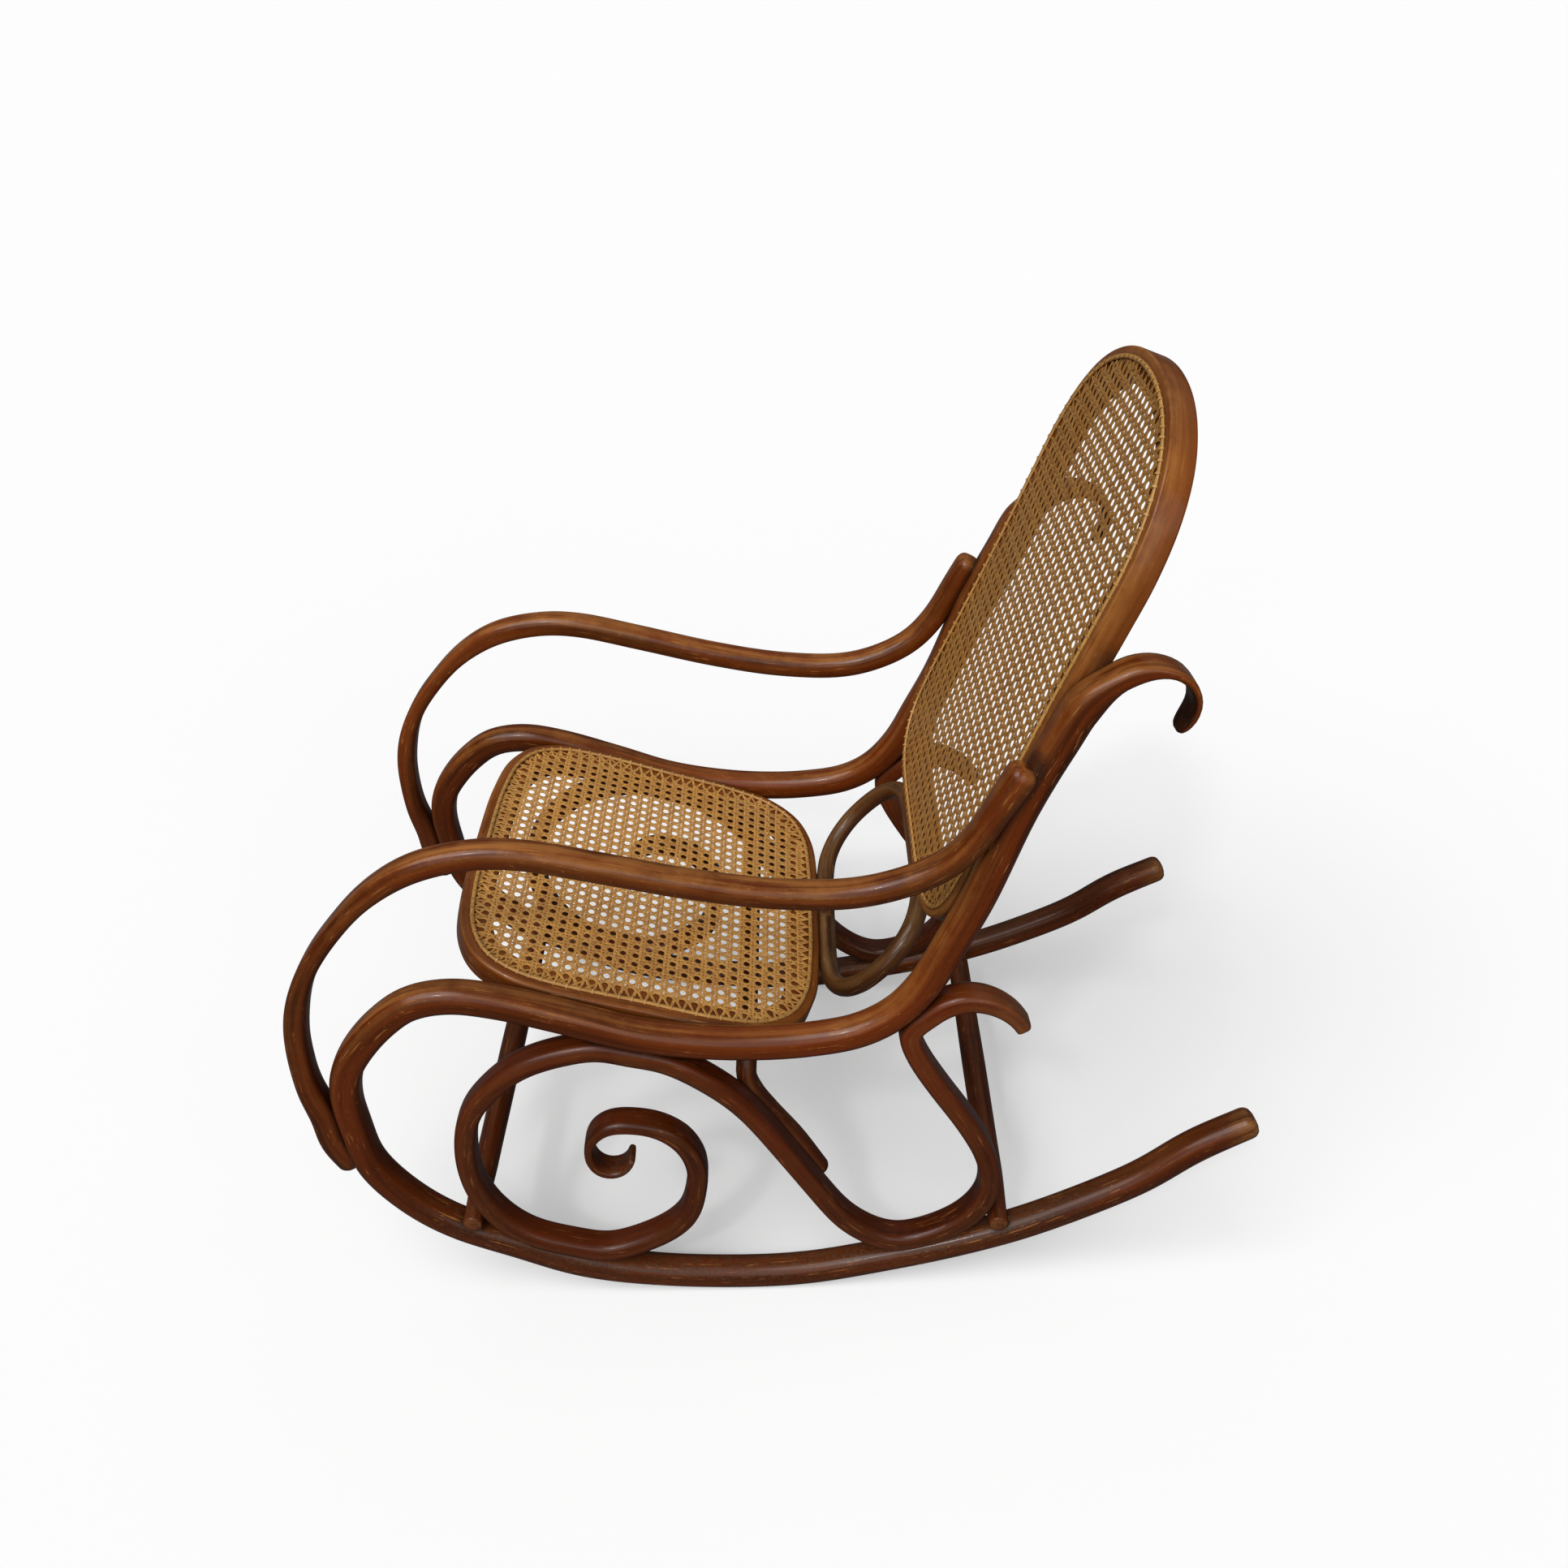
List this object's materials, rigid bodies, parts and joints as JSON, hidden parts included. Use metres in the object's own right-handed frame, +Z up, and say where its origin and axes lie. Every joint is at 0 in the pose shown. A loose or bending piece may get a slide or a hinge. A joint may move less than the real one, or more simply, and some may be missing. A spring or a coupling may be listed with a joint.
{
  "type": "bentwood rocking chair",
  "caption": "Rocking chair of steam-bent round beech rods with scrolled side frames, long arms, and a caned seat and back.",
  "frame": {"origin": "on the floor, under the middle of the chair's box", "axes": "+Z up, the sitter faces -Y, +X is the sitter's left"},
  "size_m": [0.5508, 1.015, 0.9856],
  "materials": {
    "stained_beech": "satin",
    "cane": "satin",
    "cane_binder": "satin",
    "screw_steel": "aged"
  },
  "bodies": {
    "root": {"left_side_rail": "stained_beech", "right_side_rail": "stained_beech", "left_scroll": "stained_beech", "right_scroll": "stained_beech", "left_arm": "stained_beech", "right_arm": "stained_beech", "front_stretcher": "stained_beech", "rear_stretcher": "stained_beech", "seat_bow": "stained_beech", "seat_frame": "stained_beech", "seat_cane": "cane", "seat_binder": "cane_binder", "back_frame": "stained_beech", "back_cane": "cane", "back_binder": "cane_binder", "back_loop": "stained_beech", "left_scroll_top_screw": "screw_steel", "right_scroll_top_screw": "screw_steel", "left_scroll_front_foot_screw": "screw_steel", "right_scroll_front_foot_screw": "screw_steel", "left_scroll_rear_foot_screw": "screw_steel", "right_scroll_rear_foot_screw": "screw_steel", "left_scroll_neck_screw": "screw_steel", "right_scroll_neck_screw": "screw_steel", "left_arm_front_screw": "screw_steel", "right_arm_front_screw": "screw_steel", "left_arm_rear_screw": "screw_steel", "right_arm_rear_screw": "screw_steel", "left_front_stretcher_screw": "screw_steel", "right_front_stretcher_screw": "screw_steel", "left_rear_stretcher_screw": "screw_steel", "right_rear_stretcher_screw": "screw_steel", "left_seat_front_screw": "screw_steel", "right_seat_front_screw": "screw_steel", "left_seat_rear_screw": "screw_steel", "right_seat_rear_screw": "screw_steel", "left_back_lower_screw": "screw_steel", "right_back_lower_screw": "screw_steel", "left_back_upper_screw": "screw_steel", "right_back_upper_screw": "screw_steel", "left_bow_leg_screw": "screw_steel", "right_bow_leg_screw": "screw_steel", "left_bow_crown_screw": "screw_steel", "right_bow_crown_screw": "screw_steel", "left_loop_seat_screw": "screw_steel", "right_loop_seat_screw": "screw_steel", "left_loop_back_screw": "screw_steel", "right_loop_back_screw": "screw_steel"}
  },
  "joints": []
}
